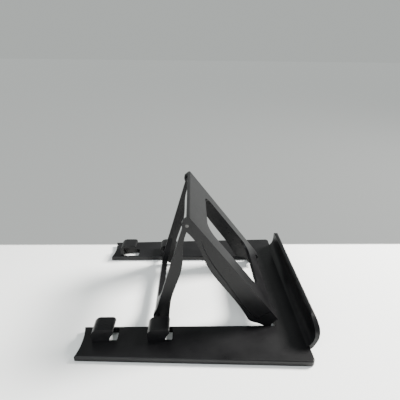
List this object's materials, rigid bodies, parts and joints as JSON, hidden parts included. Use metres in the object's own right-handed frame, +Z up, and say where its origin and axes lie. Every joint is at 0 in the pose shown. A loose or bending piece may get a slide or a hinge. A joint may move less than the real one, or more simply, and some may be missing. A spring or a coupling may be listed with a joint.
{
  "type": "folding easel stand",
  "caption": "Folding easel stand in black plastic for a phone or small album, with a forked base, a lip, a backrest and a hooked rear leg.",
  "frame": {"origin": "on the table under the middle of the base's outline", "axes": "+X towards the lip, +Y across, +Z up"},
  "size_m": [0.1098, 0.1072, 0.0617],
  "materials": {
    "black_plastic": "satin",
    "rubber": "matte",
    "steel": "satin"
  },
  "bodies": {
    "base": {"base_frame": "black_plastic", "base_hinge_pin_left": "steel", "base_hinge_pin_right": "steel", "rubber_foot_rear_left": "rubber", "rubber_foot_rear_right": "rubber", "rubber_foot_front_left": "rubber", "rubber_foot_front_right": "rubber"},
    "backrest": {"backrest_frame": "black_plastic", "leg_hinge_pin_left": "steel", "leg_hinge_pin_right": "steel"},
    "leg": {"leg_frame": "black_plastic"}
  },
  "joints": [
    {"name": "backrest_fold", "type": "hinge", "parent": "base", "child": "backrest", "pos_m": [0.0346, 0, 0.00195], "axis": [0, -1, 0], "range_deg": [0, 20]},
    {"name": "leg_fold", "type": "hinge", "parent": "backrest", "child": "leg", "pos_m": [-0.00515, 0, 0.0577], "axis": [0, -1, 0], "range_deg": [0, 43.5]}
  ]
}
